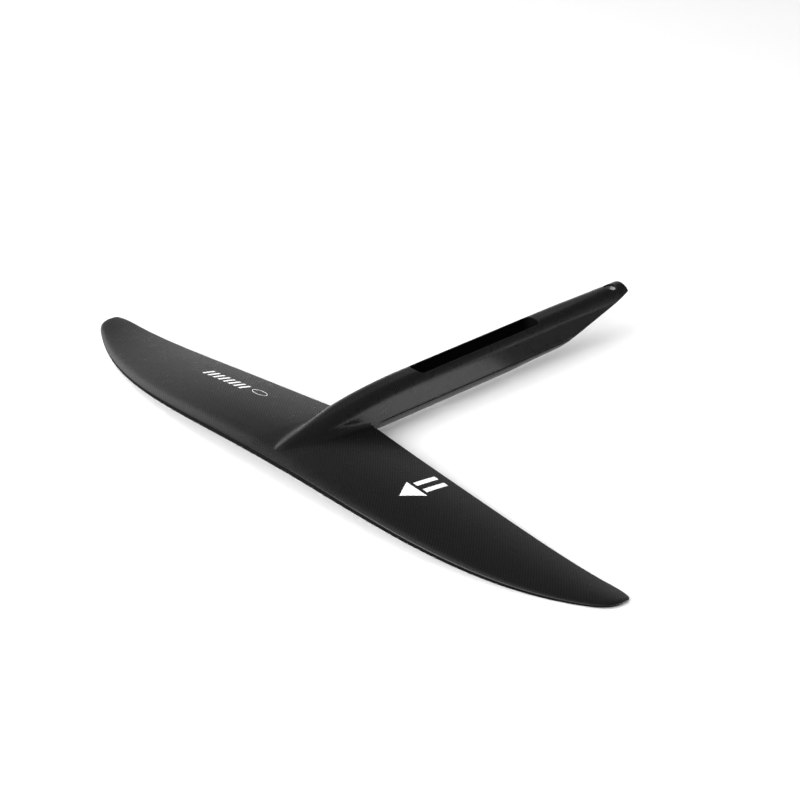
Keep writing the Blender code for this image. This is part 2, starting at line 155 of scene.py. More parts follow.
# Fineness of the visual meshes.
ARCH_COLUMNS = 40
WING_COLUMNS = 84
CHORD_ROWS = 72
BODY_STEP = 0.0030
RIM_COLUMNS = 5
TAIL_COLUMNS = 40
TAIL_RINGS = 14
RING_SEGMENTS = 96
LIP_ANGLES = (0, 18, 36, 54, 68)
SHARP_ANGLE = 32

# Edges, lips and gaps of the visual pieces.
EDGE_LIP = 0.00002
FILLET_BASE = 0.001
MOUTH_ROUND = 0.0006
HOLE_ROUND = 0.0003
GROOVE_HEIGHT = 0.0011
GROOVE_DEPTH = 0.0007
GROOVE_FADE = 0.010
# The leading edge's band of painted shade: the shares of the chord it covers on the upper and lower skin.
NOSE_SHADE_UPPER = 0.004
NOSE_SHADE_LOWER = 0.030
TUB_WALL = 0.0012
TUB_GAP = 0.0001
TUB_BOTTOM = -0.0064
EDGE_BREAK = 0.0003
CUT_DEPTH = 0.020
CUT_MARGIN = 0.010
UPPER_CUT_Z = 0.012
LOWER_CUT_Z = -0.003

# Weave.
TOW = 0.00085
CARBON_DARK = (0.0035, 0.0036, 0.0037)
# Lighter colour of the tows on top, a painted sheen.
CARBON_SHEEN = (0.0165, 0.0167, 0.0170)

# Printed marks, with places in wing coordinates and sizes as (length, width) or (half width, half length).
MARK_GRID = 0.002
MARK_PROUD = 0.00004
ARROW_PLACE = (0.125, 0.070)
ARROW_HALF_WIDTH = 0.013
ARROW_BASE = 0.006
ARROW_TIP = 0.027
SHAFT_OFFSET = 0.006
SHAFT_BACK = 0.011
SHAFT_SIZE = (0.026, 0.0055)
BARS_START = -0.170
BARS_Y = 0.073
BAR_COUNT = 8
BAR_STEP = 0.0075
BAR_SIZE = (0.011, 0.0032)
BAR_SLANT = 0.35
OVAL_PLACE = (BARS_START + 0.072, BARS_Y + 0.002)
OVAL_SIZE = (0.010, 0.0045)
OVAL_LINE = 0.0006

ROOT_U = ROOT_EDGE_X / HALF_SPAN

# Camera, in the part's frame: place, heading, height angle, roll and lens.
CAMERA_PLACE = (1.4070, -1.4686, 1.0640)
CAMERA_AZIMUTH = math.radians(45.752)
CAMERA_ELEVATION = math.radians(28.371)
CAMERA_ROLL = math.radians(1.539)
CAMERA_LENS = 108.0
SENSOR_WIDTH = 36.0

# Studio: floor, card and the bright part of the world. The bands are where the brightness fades, as heights
# (sine of the height angle) and as nearness to the bright heading.
FLOOR_REACH = 12.0
FLOOR_GAP = 0.0005
FLAG_LIFT = 0.0005
FLAG_CORNERS = ((0.03, 0.06), (0.15, 0.34))
BRIGHT_HEADING = -28
HORIZON_LEVEL = 0.50
SKY_LEVEL = 0.10
HEIGHT_BAND = (0.27, 0.49)
HEADING_BAND = (0.25, 0.55)
WATTS_PER_RADIANCE = 4


# Planform and aerofoil.


def tip_round(u, corner):
    """How far an edge has turned in at station u, where it rounds off into the tip."""
    s = np.clip((u - corner["start"]) / (1 - corner["start"]), 0, 1)
    power = corner["power"]
    return corner["depth"] * (1 - (1 - s**power) ** (1 / power))


def leading_y(u):
    return LEADING_SWEEP * u**LEADING_POWER + tip_round(u, TIP_LEADING)


def trailing_y(u):
    return TRAILING_TIP_Y + TRAILING_FLARE * (1 - u) ** TRAILING_POWER - tip_round(u, TIP_TRAILING)


def droop(u):
    """How far the chord plane has dropped at station u, from the edge of the root."""
    return sum(share * (u**power - ROOT_U**power) for power, share in DROOP.items())


def station(x):
    """Span fraction of x. Between the root's two edges the wing keeps the section of the edge."""
    return max(abs(x) / HALF_SPAN, ROOT_U)


def half_thickness(t):
    """Shape of a thin symmetric section, 0 at both ends and 0.5 at its thickest."""
    curve = 0.2969 * math.sqrt(t) - 0.1260 * t - 0.3516 * t**2 + 0.2843 * t**3 - 0.1036 * t**4
    return 5 * curve * (1 + NOSE_FULLNESS * max(1 - t / NOSE_CHORD, 0) ** 2)


def edge_thickness(t):
    """Extra half thickness that keeps the edges blunt, rounded to nothing at both ends."""
    near = min(t, 1 - t) / EDGE_ROUND
    return EDGE_HALF * math.sqrt(max(1 - (1 - min(near, 1)) ** 2, 0))


def surface(x, t, side, inset=0.0):
    """Point on the wing's upper (side 1) or lower (side -1) face, moved into the wing by inset."""
    u = station(x)
    front = leading_y(u)
    chord = trailing_y(u) - front
    thickness = chord * (ROOT_THICKNESS + (TIP_THICKNESS - ROOT_THICKNESS) * u)
    camber = 4 * CAMBER * chord * t * (1 - t)
    depth = thickness * half_thickness(t) + edge_thickness(t) + side * camber
    depth = max(depth - inset, EDGE_LIP * (inset == 0))
    return np.array([x, front + t * chord, side * depth - droop(u)])


ROOT_TRAILING_Y = float(trailing_y(ROOT_U))
WEB_END_Y = ROOT_TRAILING_Y + WEB_RADIUS


# Fuselage profiles.


def ease(value, start, end):
    """0 before start, 1 after end, and a smooth step between them."""
    s = min(max((value - start) / (end - start), 0.0), 1.0)
    return s * s * (3 - 2 * s)


def mix(first, second, share):
    return first + (second - first) * share


def crest_height(y):
    """Height of the fuselage's top line, which rises out of the wing behind the leading edge."""
    rise = CREST_RISE * max(1 - y / CREST_LEVEL_Y, 0) ** 2
    nose = CREST_NOSE_DROP * math.exp(-y / CREST_NOSE_LENGTH)
    return mix(CREST_HEIGHT, TAIL_CREST_HEIGHT, ease(y, SCARF_Y, TAIL_Y)) - rise - nose


def keel_depth(y):
    """Depth of the fuselage's bottom line below the chord plane."""
    rise = KEEL_RISE * max(1 - y / KEEL_LEVEL_Y, 0) ** 2
    return mix(KEEL_DEPTH, KEEL_TAIL_DEPTH, ease(y, KEEL_TAPER_Y, SCARF_Y + TAIL_BLEND)) - rise


def body_half_width(y):
    width = mix(RIDGE_NOSE_HALF_WIDTH, BODY_HALF_WIDTH, ease(y, 0, RIDGE_FULL_WIDTH_Y))
    return mix(width, TAIL_HALF_WIDTH, ease(y, SCARF_Y - TAIL_BLEND, TAIL_Y))


def shoulder_radius(y):
    return mix(SHOULDER_RADIUS, TAIL_HALF_WIDTH, ease(y, SCARF_Y, TAIL_Y))


def scarf_z(y):
    """Height of the slanted seat under the tail."""
    return SCARF_SLOPE * (y - SCARF_Y) - KEEL_TAIL_DEPTH


def edge_x(y):
    """Outer edge of the root, which narrows along the wing and turns a small corner onto the fuselage."""
    corner = BODY_HALF_WIDTH + WEB_RADIUS
    if y <= ROOT_TRAILING_Y:
        return mix(ROOT_EDGE_X, corner, ease(y, WEB_START_Y, ROOT_TRAILING_Y))
    if y >= WEB_END_Y:
        return body_half_width(y)
    return corner - math.sqrt(WEB_RADIUS**2 - (WEB_END_Y - y) ** 2)


def arc(center, radius, start, end, steps=48):
    """Points of a circular arc between two angles."""
    angles = np.linspace(start, end, steps)
    return [(center[0] + radius * math.cos(a), center[1] + radius * math.sin(a)) for a in angles]


def arch_profile(width, radius, top, base, fillet, reach):
    """Half section from the middle of the top, round the shoulder and down to base, then out to reach.

    width, radius and top are the arch's half width, shoulder radius and height. A fillet turns it into
    the level base line.  Where the arch lies below the base line the section is that line.
    """
    height = top - base
    if height <= 0:
        return [(0.0, base), (reach, base)]
    radius = min(radius, width)
    points = [(0.0, top)]
    drop = radius - height + fillet
    if drop > 0:
        foot = width - radius + math.sqrt((radius + fillet) ** 2 - drop**2)
        turn = math.asin(drop / (radius + fillet))
    else:
        foot = width + fillet
        turn = 0.0
    points += arc((width - radius, top - radius), radius, math.pi / 2, turn)
    if fillet > 0:
        points += arc((foot, base + fillet), fillet, math.pi + turn, 1.5 * math.pi)
    else:
        points.append((foot, base))
    if reach > foot:
        points.append((reach, base))
    return points


def resample(points, count, rim=0.0):
    """The same line in count even steps, except that RIM_COLUMNS of them fill its last stretch, the rim."""
    points = np.array(points)
    steps = np.linalg.norm(np.diff(points, axis=0), axis=1)
    along = np.concatenate([[0], np.cumsum(steps)])
    wanted = np.linspace(0, along[-1], count + 1)
    if rim:
        main = np.linspace(0, along[-1] - rim, count - RIM_COLUMNS + 1)
        wanted = [*main, *np.linspace(main[-1], along[-1], RIM_COLUMNS + 1)[1:]]
    return np.stack([np.interp(wanted, along, points[:, axis]) for axis in (0, 1)], axis=1)


def groove(y, height):
    """How far the fuselage's side is set in at y and this height above the parting line."""
    if height >= GROOVE_HEIGHT:
        return 0.0
    along = ease(y, WEB_END_Y, WEB_END_Y + GROOVE_FADE) * (1 - ease(y, WEDGE_Y - GROOVE_FADE, WEDGE_Y))
    return GROOVE_DEPTH * along * (1 - (height / GROOVE_HEIGHT) ** 2)


def root_reach(y):
    """How far out the section runs along its base: to the wing's first column, or not behind the wing."""
    return edge_x(y) if y < WEB_END_Y else 0.0


def root_fillet(y, base, inset):
    """Radius of the turn between the fuselage's side and the wing, seen from inset under the surface."""
    fillet = min(ROOT_FILLET, max(edge_x(y) - body_half_width(y), 0))
    if fillet > 0 and base > FILLET_BASE:
        return fillet + inset
    return max(fillet - inset, 0)


def upper_section(y, base, inset):
    """Half section of the fuselage's upper side at y, with its wing or parting line at base."""
    width = body_half_width(y) - inset
    radius = shoulder_radius(y) - inset
    top = crest_height(y) - inset
    return arch_profile(width, radius, top, base, root_fillet(y, base, inset), root_reach(y))


def lower_section(y, base, inset):
    """Half section of the keel at y, as depths below the chord plane, down to the scarf's plane."""
    width = body_half_width(y) - inset
    depth = keel_depth(y) - inset
    radius = min(KEEL_RADIUS, keel_depth(y)) - inset
    half = arch_profile(width, radius, depth, base, root_fillet(y, base, inset), root_reach(y))
    lowest = max(-scarf_z(y) - inset, base) if y > SCARF_Y else KEEL_DEPTH
    return [(x, min(z, lowest)) for x, z in half]


# Meshes.


def mesh_of(points, faces):
    """Closed mesh with its faces pointing out, moved from wing coordinates into the part's frame."""
    mesh = bpy.data.meshes.new("piece")
    mesh.from_pydata([(float(x), float(y) - POCKET_Y, float(z)) for x, y, z in points], [], faces)
    shape = bmesh.new()
    shape.from_mesh(mesh)
    bmesh.ops.recalc_face_normals(shape, faces=shape.faces)
    shape.to_mesh(mesh)
    shape.free()
    return mesh


def skin_mesh(outer, inner, cells):
    """Closed mesh between two grids of points, over the given cells (row, column)."""
    cells = set(cells)
    index = {}
    points = []

    def vertex(grid, row, column):
        key = (grid, row, column)
        if key not in index:
            index[key] = len(points)
            points.append((outer, inner)[grid][row, column])
        return index[key]

    faces = []
    for row, column in sorted(cells):
        corners = [(row, column), (row, column + 1), (row + 1, column + 1), (row + 1, column)]
        faces.append([vertex(0, *corner) for corner in corners])
        faces.append([vertex(1, *corner) for corner in reversed(corners)])
        beside = [(row - 1, column), (row, column + 1), (row + 1, column), (row, column - 1)]
        for side, neighbour in enumerate(beside):
            if neighbour not in cells:
                first, second = corners[side], corners[(side + 1) % 4]
                rim = [(0, second), (0, first), (1, first), (1, second)]
                faces.append([vertex(grid, *corner) for grid, corner in rim])
    return mesh_of(points, faces)


def loft_mesh(rings):
    """Closed mesh through a run of rings with the same number of points, with flat ends."""
    count = len(rings[0])
    points = [point for ring in rings for point in ring]
    faces = [list(range(count)), list(range(len(points) - count, len(points)))]
    for ring in range(len(rings) - 1):
        for spot in range(count):
            after = (spot + 1) % count
            first = ring * count
            faces.append([first + spot, first + after, first + count + after, first + count + spot])
    return mesh_of(points, faces)


def turned_mesh(profile, place, flip=1):
    """Closed ring about an upright axis at place from a closed outline of (radius, z) points."""
    count = len(profile)
    points = []
    faces = []
    for step in range(RING_SEGMENTS):
        angle = 2 * math.pi * step / RING_SEGMENTS
        following = (step + 1) % RING_SEGMENTS
        for spot, (r, z) in enumerate(profile):
            points.append((r * math.cos(angle), place[0] + r * math.sin(angle), place[1] + flip * z))
            after = (spot + 1) % count
            first, second = step * count, following * count
            faces.append([first + spot, first + after, second + after, second + spot])
    return mesh_of(points, faces)


def rounded_outline(length, width, corner, steps=14):
    """Rectangle along Y with rounded corners, as (x, y) points about the pocket's middle."""
    half_x, half_y = width / 2 - corner, length / 2 - corner
    points = []
    for turn, (sign_x, sign_y) in enumerate(((1, 1), (-1, 1), (-1, -1), (1, -1))):
        center = (sign_x * half_x, POCKET_Y + sign_y * half_y)
        start = turn * math.pi / 2
        points += arc(center, corner, start, start + math.pi / 2, steps)
    return points


def circle_outline(radius, y):
    """Circle about (0, y), as (x, y) points."""
    angles = np.linspace(0, 2 * math.pi, RING_SEGMENTS, endpoint=False)
    return [(radius * math.cos(a), y + radius * math.sin(a)) for a in angles]


def round_hole(radius, y):
    """Outline of a hole at y, as a function of how far the outline has grown."""

    def outline(grow):
        return circle_outline(radius + grow, y)

    return outline


def stack_mesh(outline, levels):
    """Closed mesh through outline(grow) at height z, for each (grow, z) of levels."""
    return loft_mesh([[(x, y, z) for x, y in outline(grow)] for grow, z in levels])


def arch_z(x, y):
    """Height of the fuselage's top at (x, y)."""
    width, radius = body_half_width(y), shoulder_radius(y)
    over = max(abs(x) - (width - radius), 0)
    return crest_height(y) - radius + math.sqrt(max(radius**2 - over**2, 0))


def keel_z(x, y):
    """Height of the keel's under side at (x, y)."""
    over = max(abs(x) - (body_half_width(y) - KEEL_RADIUS), 0)
    return -keel_depth(y) + KEEL_RADIUS - math.sqrt(max(KEEL_RADIUS**2 - over**2, 0))


def mouth_cutter(outline, deep, height, facing=1, lip_size=HOLE_ROUND):
    """Cutter that follows outline(grow) and opens with a rounded lip where it meets height(x, y)."""
    rings = [[(x, y, deep) for x, y in outline(0.0)]]
    for angle in np.radians(LIP_ANGLES):
        grow = (1 - math.cos(angle)) * lip_size
        down = (1 - math.sin(angle)) * facing * lip_size
        rings.append([(x, y, height(x, y) - down) for x, y in outline(grow)])
    rings.append([(x, y, z + facing * CUT_DEPTH) for x, y, z in rings[-1]])
    return loft_mesh(rings)


def cut_all(mesh, cutters):
    """The mesh with every cutter taken out of it."""
    obj = bpy.data.objects.new("cut_body", mesh)
    bpy.context.scene.collection.objects.link(obj)
    helpers = []
    for cutter in cutters:
        helper = bpy.data.objects.new("cutter", cutter)
        bpy.context.scene.collection.objects.link(helper)
        helpers.append(helper)
        boolean = obj.modifiers.new("cut", "BOOLEAN")
        boolean.operation = "DIFFERENCE"
        boolean.object = helper
    graph = bpy.context.evaluated_depsgraph_get()
    result = bpy.data.meshes.new_from_object(obj.evaluated_get(graph))
    for helper in [obj, *helpers]:
        bpy.data.objects.remove(helper, do_unlink=True)
    return result


def add_piece(name, mesh, material, node=None):
    """A visual piece on the part's one body. It stands for the CAD node, where one is named."""
    mesh.name = name
    obj = bpy.data.objects.new(name, mesh)
    bpy.context.scene.collection.objects.link(obj)
    mesh.materials.clear()
    mesh.materials.append(material)
    mesh.shade_smooth()
    mesh.set_sharp_from_angle(angle=math.radians(SHARP_ANGLE))
    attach(obj, "root")
    if node:
        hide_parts(node)
    return obj


# Materials.


class Nodes:
    """Shorthand for building a node tree around the material's Principled shader."""

    def __init__(self, name):
        self.material = bpy.data.materials.new(name)
        self.material.use_nodes = True
        self.tree = self.material.node_tree
        self.shader = self.tree.nodes["Principled BSDF"]

    def add(self, kind, **settings):
        """A new node of this kind."""
        node = self.tree.nodes.new(kind)
        for key, value in settings.items():
            setattr(node, key, value)
        return node

    def feed(self, socket, value):
        """Links value into the socket, or sets the socket to it where it is a constant."""
        if isinstance(value, bpy.types.NodeSocket):
            self.tree.links.new(value, socket)
        else:
            socket.default_value = value

    def math(self, operation, *values, clamp=False):
        """Result of a math operation on the values."""
        node = self.add("ShaderNodeMath", operation=operation, use_clamp=clamp)
        for socket, value in zip(node.inputs, values):
            self.feed(socket, value)
        return node.outputs[0]

    def place(self):
        """Position on the piece, in metres."""
        return self.add("ShaderNodeTexCoord").outputs["Object"]

    def noise(self, scale, detail=3.0):
        """Cloudy value round 0.5, with about this many clouds to the metre."""
        node = self.add("ShaderNodeTexNoise")
        self.feed(node.inputs["Vector"], self.place())
        node.inputs["Scale"].default_value = scale
        node.inputs["Detail"].default_value = detail
        return node.outputs["Fac"]

    def ramp(self, value, low, high):
        """value from 0..1 spread over low..high."""
        node = self.add("ShaderNodeMapRange")
        self.feed(node.inputs["Value"], value)
        node.inputs["To Min"].default_value = low
        node.inputs["To Max"].default_value = high
        return node.outputs["Result"]

    def blend(self, share, first, second):
        """Colour between first and second."""
        node = self.add("ShaderNodeMix", data_type="RGBA")
        self.feed(node.inputs["Factor"], share)
        self.feed(node.inputs["A"], (*first, 1))
        self.feed(node.inputs["B"], (*second, 1))
        return node.outputs["Result"]

    def bump(self, height, distance, strength=1.0):
        """Fine relief on the shader, where a height of 1 stands out by distance."""
        node = self.add("ShaderNodeBump")
        node.inputs["Distance"].default_value = distance
        node.inputs["Strength"].default_value = strength
        self.feed(node.inputs["Height"], height)
        self.feed(self.shader.inputs["Normal"], node.outputs["Normal"])

    def set(self, socket, value):
        """Feeds one of the shader's own sockets."""
        self.feed(self.shader.inputs[socket], value)


def twill(nodes, side):
    """Twill weave laid over the shape: (which tow is on top, height of the weave)."""
    split = nodes.add("ShaderNodeSeparateXYZ")
    nodes.feed(split.inputs[0], nodes.place())
    x, y, z = split.outputs
    down = nodes.math("MULTIPLY", nodes.math("SIGN", x), nodes.math("MULTIPLY", z, float(side)))
    across = nodes.math("SUBTRACT", x, down)
    a = nodes.math("DIVIDE", across, TOW)
    b = nodes.math("DIVIDE", y, TOW)
    step = nodes.math("ADD", nodes.math("FLOOR", a), nodes.math("FLOOR", b))
    over = nodes.math("LESS_THAN", nodes.math("FLOORED_MODULO", step, 4.0), 1.5)
    humps = [nodes.math("SINE", nodes.math("MULTIPLY", nodes.math("FRACT", v), math.pi)) for v in (a, b)]
    return over, nodes.math("POWER", nodes.math("MULTIPLY", *humps), 0.5)


def carbon(name, side):
    """Satin black woven carbon: the tows on top painted lighter as painted sheen, a shallow weave and
    slightly uneven lacquer.
    """
    nodes = Nodes(name)
    over, height = twill(nodes, side)
    cloud = nodes.noise(30.0)
    # Random tone, plus a painted sheen that lightens the tows on top.
    tone_and_sheen = nodes.math("MULTIPLY_ADD", nodes.math("SUBTRACT", cloud, 0.5), 0.3, over, clamp=True)
    lacquer = nodes.ramp(nodes.noise(90.0), 0.34, 0.42)
    nodes.set("Base Color", nodes.blend(tone_and_sheen, CARBON_DARK, CARBON_SHEEN))
    nodes.set("Roughness", nodes.math("MULTIPLY_ADD", over, -0.10, lacquer))
    nodes.set("IOR", 1.5)
    nodes.bump(height, distance=0.00002, strength=0.7)
    return nodes.material


def moulded(name, color, roughness, specular=0.5):
    """Plain moulded surface with a fine grain and slightly uneven colour."""
    nodes = Nodes(name)
    dark = tuple(0.75 * c for c in color)
    nodes.set("Base Color", nodes.blend(nodes.noise(40.0), dark, color))
    nodes.set("Roughness", nodes.ramp(nodes.noise(120.0), roughness - 0.05, roughness + 0.05))
    nodes.set("Specular IOR Level", specular)
    nodes.bump(nodes.noise(600.0, detail=5.0), distance=0.00004)
    return nodes.material


# Near-black laminate of the pocket's tub and seat plate, darker and duller than the skin as painted shade
# inside the pocket.
def pocket_laminate():
    return moulded("pocket_laminate", (0.0012, 0.0012, 0.0012), 0.8, specular=0.15)


def tail_laminate():
    return moulded("tail_laminate", (0.012, 0.012, 0.012), 0.5)


# Near-black dull band along the leading edge: painted shade on the nose's under side.
def painted_nose_shade():
    return moulded("nose_shade_band", (0.0015, 0.0015, 0.0015), 0.7, specular=0.1)


def foam():
    return moulded("foam", (0.70, 0.62, 0.45), 0.9)


def edge_resin():
    return moulded("edge_resin", (0.12, 0.11, 0.09), 0.5)


def spar_laminate():
    return moulded("spar_laminate", (0.02, 0.02, 0.02), 0.5)


def flag_cloth():
    return moulded("flag_cloth", (0.22, 0.22, 0.22), 0.9, specular=0.0)


def turned_steel():
    nodes = Nodes("steel")
    nodes.set("Base Color", nodes.blend(nodes.noise(300.0), (0.42, 0.42, 0.43), (0.55, 0.55, 0.56)))
    nodes.set("Roughness", nodes.ramp(nodes.noise(500.0), 0.24, 0.36))
    nodes.set("Metallic", 1.0)
    nodes.bump(nodes.noise(1500.0, detail=2.0), distance=0.00001)
    return nodes.material


def print_white():
    nodes = Nodes("print_white")
    nodes.set("Base Color", nodes.blend(nodes.noise(200.0), (0.80, 0.80, 0.80), (0.90, 0.90, 0.90)))
    nodes.set("Roughness", nodes.ramp(nodes.noise(150.0), 0.42, 0.50))
    nodes.bump(nodes.noise(900.0), distance=0.00001)
    return nodes.material


def floor_paper():
    nodes = Nodes("floor_paper")
    nodes.set("Base Color", (0.93, 0.93, 0.93, 1))
    nodes.set("Roughness", 0.9)
    nodes.set("Specular IOR Level", 0.1)
    return nodes.material


# Shells.


def chord_stations():
    """Shares of the chord at the rows of the wing, closer together at both edges."""
    return [(1 - math.cos(math.pi * row / CHORD_ROWS)) / 2 for row in range(CHORD_ROWS + 1)]


def span_stations(start):
    """Distances from the centre line of the columns outboard of start, closer together at the tip."""
    steps = np.arange(1, WING_COLUMNS + 1) / WING_COLUMNS
    return start + (HALF_SPAN - start) * np.sin(steps * math.pi / 2)


def body_stations(last):
    """Places along the fuselage behind the trailing edge, up to last."""
    web = [WEB_END_Y - WEB_RADIUS * math.cos(math.radians(angle)) for angle in range(5, 90, 5)]
    count = int((last - WEB_END_Y) / BODY_STEP)
    return web + list(np.linspace(WEB_END_Y, last, count + 1))


def base_depth(y, side, outer):
    """Depth of the shell's edge behind the wing: the parting line, or the scarf under the tail."""
    level = max(scarf_z(y), 0) if side > 0 else 0.0
    return level + EDGE_LIP * outer


def shell_mesh(side, section, last):
    """One moulded half: wing skin and fuselage skin in a piece. section gives the fuselage's profile."""
    chord = chord_stations()
    body = body_stations(last)
    middle = ARCH_COLUMNS + WING_COLUMNS
    rows = len(chord) + len(body)
    grids = []
    for inset in (0.0, SKIN):
        grid = np.zeros((rows, 2 * middle + 1, 3))
        stations = [surface(0, t, side, inset)[1:] for t in chord]
        stations += [(y, side * base_depth(y, side, inset == 0)) for y in body]
        for row, (y, base) in enumerate(stations):
            half = resample(section(y, side * base, inset), ARCH_COLUMNS, GROOVE_HEIGHT)
            for column, (x, z) in enumerate(half):
                x -= groove(y, z - side * base)
                grid[row, middle + column] = (x, y, side * z)
                grid[row, middle - column] = (-x, y, side * z)
        for row, t in enumerate(chord):
            for column, x in enumerate(span_stations(edge_x(stations[row][0])), ARCH_COLUMNS + 1):
                point = surface(x, t, side, inset)
                grid[row, middle + column] = point
                grid[row, middle - column] = point * (-1, 1, 1)
        grids.append(grid)
    cells = [(row, column) for row in range(CHORD_ROWS) for column in range(2 * middle)]
    for row in range(CHORD_ROWS, rows - 1):
        cells += [(row, column) for column in range(middle - ARCH_COLUMNS, middle + ARCH_COLUMNS)]
    return skin_mesh(grids[0], grids[1], cells)


def pocket_outline(grow):
    """Outline of the mast pocket, grown by this much all round."""
    return rounded_outline(POCKET_LENGTH + 2 * grow, POCKET_WIDTH + 2 * grow, POCKET_CORNER + grow)


def paint_nose_shade(skin, chord_share, band):
    """Gives the faces within this share of the chord from the leading edge the band's material, which is
    painted shade.
    """
    skin.data.materials.append(band)
    for face in skin.data.polygons:
        u = station(face.center.x)
        t = (face.center.y + POCKET_Y - leading_y(u)) / (trailing_y(u) - leading_y(u))
        face.material_index = int(t < chord_share)


def make_upper_shell(band):
    """Upper skin with the pocket's mouth and the hole of the tail screw."""
    pocket = mouth_cutter(pocket_outline, UPPER_CUT_Z, arch_z, lip_size=MOUTH_ROUND)
    hole = mouth_cutter(round_hole(TAIL_HOLE_RADIUS, TAIL_SCREW_Y), UPPER_CUT_Z, arch_z)
    mesh = cut_all(shell_mesh(1, upper_section, TAIL_Y), [pocket, hole])
    skin = add_piece("skin_upper", mesh, carbon("carbon_weave_upper", 1), "upper_shell")
    # A thin strip at the leading edge gets the band of painted shade.
    paint_nose_shade(skin, NOSE_SHADE_UPPER, band)


def make_lower_shell(band):
    """Lower skin with a hole for each bush of the mast screws."""
    outlines = [round_hole(BUSH_RADIUS + GAP / 2, y) for y in screw_places()]
    holes = [mouth_cutter(outline, LOWER_CUT_Z, keel_z, facing=-1) for outline in outlines]
    mesh = cut_all(shell_mesh(-1, lower_section, WEDGE_Y), holes)
    skin = add_piece("skin_lower", mesh, carbon("carbon_weave_lower", -1), "lower_shell")
    # The front of the lower skin gets the band of painted shade.
    paint_nose_shade(skin, NOSE_SHADE_LOWER, band)


def screw_places():
    """Places along the fuselage of the two screws that hold the mast."""
    return (POCKET_Y - SCREW_SPACING / 2, POCKET_Y + SCREW_SPACING / 2)


# Pieces inside the fuselage.


def drill(radius, y, low, high):
    """Cutter for a plain round hole."""
    return stack_mesh(round_hole(radius, y), ((0, low), (0, high)))


def make_pocket_tub(material):
    """Tub under the pocket's mouth: an upright wall all round with a floor that carries the plate."""
    outer = pocket_outline(TUB_WALL)
    inner = pocket_outline(TUB_GAP)
    under_skin = SKIN + TUB_GAP
    rings = [
        [(x, y, TUB_BOTTOM) for x, y in outer],
        [(x, y, arch_z(x, y) - under_skin) for x, y in outer],
        [(x, y, arch_z(x, y) - under_skin) for x, y in inner],
        [(x, y, -PLATE_THICKNESS - GAP) for x, y in inner],
    ]
    bush_top = bush_base_z() + BUSH_HEIGHT + GAP
    holes = [drill(SCREW_RADIUS, y, -CUT_DEPTH, CUT_DEPTH) for y in screw_places()]
    holes += [drill(BUSH_RADIUS + GAP, y, -CUT_DEPTH, bush_top) for y in screw_places()]
    add_piece("pocket_tub", cut_all(loft_mesh(rings), holes), material, "mast_box")


def plate_outline(grow):
    """Outline of the seat plate, which leaves a gap to the pocket's wall."""
    return pocket_outline(grow - GAP)


def make_seat_plate(material):
    """Plate that the mast's foot stands on, with a softened rim and softened screw holes."""
    bottom = -PLATE_THICKNESS
    rim = ((-EDGE_BREAK, bottom), (0, bottom + EDGE_BREAK), (0, -EDGE_BREAK), (-EDGE_BREAK, 0))
    sink = ((0, -CUT_DEPTH), (0, -EDGE_BREAK), (EDGE_BREAK, 0), (EDGE_BREAK, CUT_DEPTH))
    holes = [stack_mesh(round_hole(SCREW_RADIUS, y), sink) for y in screw_places()]
    add_piece("seat_plate", cut_all(stack_mesh(plate_outline, rim), holes), material, "mast_plate")


def tail_ring(y):
    """Closed ring of the tail block at y: the inside of the arch, flat below on the scarf or parting."""
    inset = SKIN + TUB_GAP
    base = max(scarf_z(y), 0) + GAP / 2
    width, radius = body_half_width(y) - inset, shoulder_radius(y) - inset
    half = resample(arch_profile(width, radius, crest_height(y) - inset, base, 0.0, 0.0), TAIL_COLUMNS)
    return [(x, y, z) for x, z in half] + [(-x, y, z) for x, z in half[:0:-1]]


def make_tail_block(material):
    """Solid laminate behind the pocket. Its under face is the slanted seat for the tail."""
    front = POCKET_Y + BOX_LENGTH / 2 + GAP
    level_end = SCARF_Y + (KEEL_TAIL_DEPTH + GAP / 2) / SCARF_SLOPE
    level = np.linspace(front, level_end, TAIL_RINGS)
    slanted = np.linspace(level_end, TAIL_Y, 2 * TAIL_RINGS)[1:]
    block = loft_mesh([tail_ring(y) for y in (*level, *slanted)])
    seat = TAIL_BUSH_TOP - TAIL_BUSH_HEIGHT - GAP
    above = CREST_HEIGHT + CUT_MARGIN
    holes = [
        drill(TAIL_BUSH_RADIUS + GAP, TAIL_SCREW_Y, seat, above),
        drill(SCREW_RADIUS, TAIL_SCREW_Y, 0, above),
    ]
    add_piece("tail_laminate", cut_all(block, holes), material, "tail_block")


def bush_base_z():
    """Height of the mouth of the mast screws' bushes, just inside the keel."""
    return -KEEL_DEPTH + BUSH_RECESS


def bush_outline(radius, seat, height):
    """Section of a countersunk bush with broken edges. It stands on z = 0 with its wide mouth down."""
    cut_in = EDGE_BREAK
    lip = seat - SCREW_RADIUS
    return [
        (seat + cut_in / 2, 0),
        (seat, cut_in / 2),
        (SCREW_RADIUS + cut_in / 4, lip),
        (SCREW_RADIUS, lip + cut_in / 2),
        (SCREW_RADIUS, height - cut_in),
        (SCREW_RADIUS + cut_in, height),
        (radius - cut_in, height),
        (radius, height - cut_in),
        (radius, cut_in),
        (radius - cut_in, 0),
    ]


def make_bushes(material):
    """Countersunk steel seats of the two mast screws, from below, and of the tail screw, from above."""
    outline = bush_outline(BUSH_RADIUS, SEAT_RADIUS, BUSH_HEIGHT)
    for place, y in zip(("front", "rear"), screw_places()):
        mesh = turned_mesh(outline, (y, bush_base_z()))
        add_piece(f"steel_bush_{place}", mesh, material, f"mast_screw_bush_{place}")
    outline = bush_outline(TAIL_BUSH_RADIUS, TAIL_SEAT_RADIUS, TAIL_BUSH_HEIGHT)
    mesh = turned_mesh(outline, (TAIL_SCREW_Y, TAIL_BUSH_TOP), -1)
    add_piece("steel_bush_tail", mesh, material, "tail_screw_bush")


# Printed marks.


def wing_height(x, y):
    """Height of the wing's upper face at (x, y)."""
    u = station(x)
    t = (y - leading_y(u)) / (trailing_y(u) - leading_y(u))
    return surface(x, min(max(t, 0), 1), 1)[2]


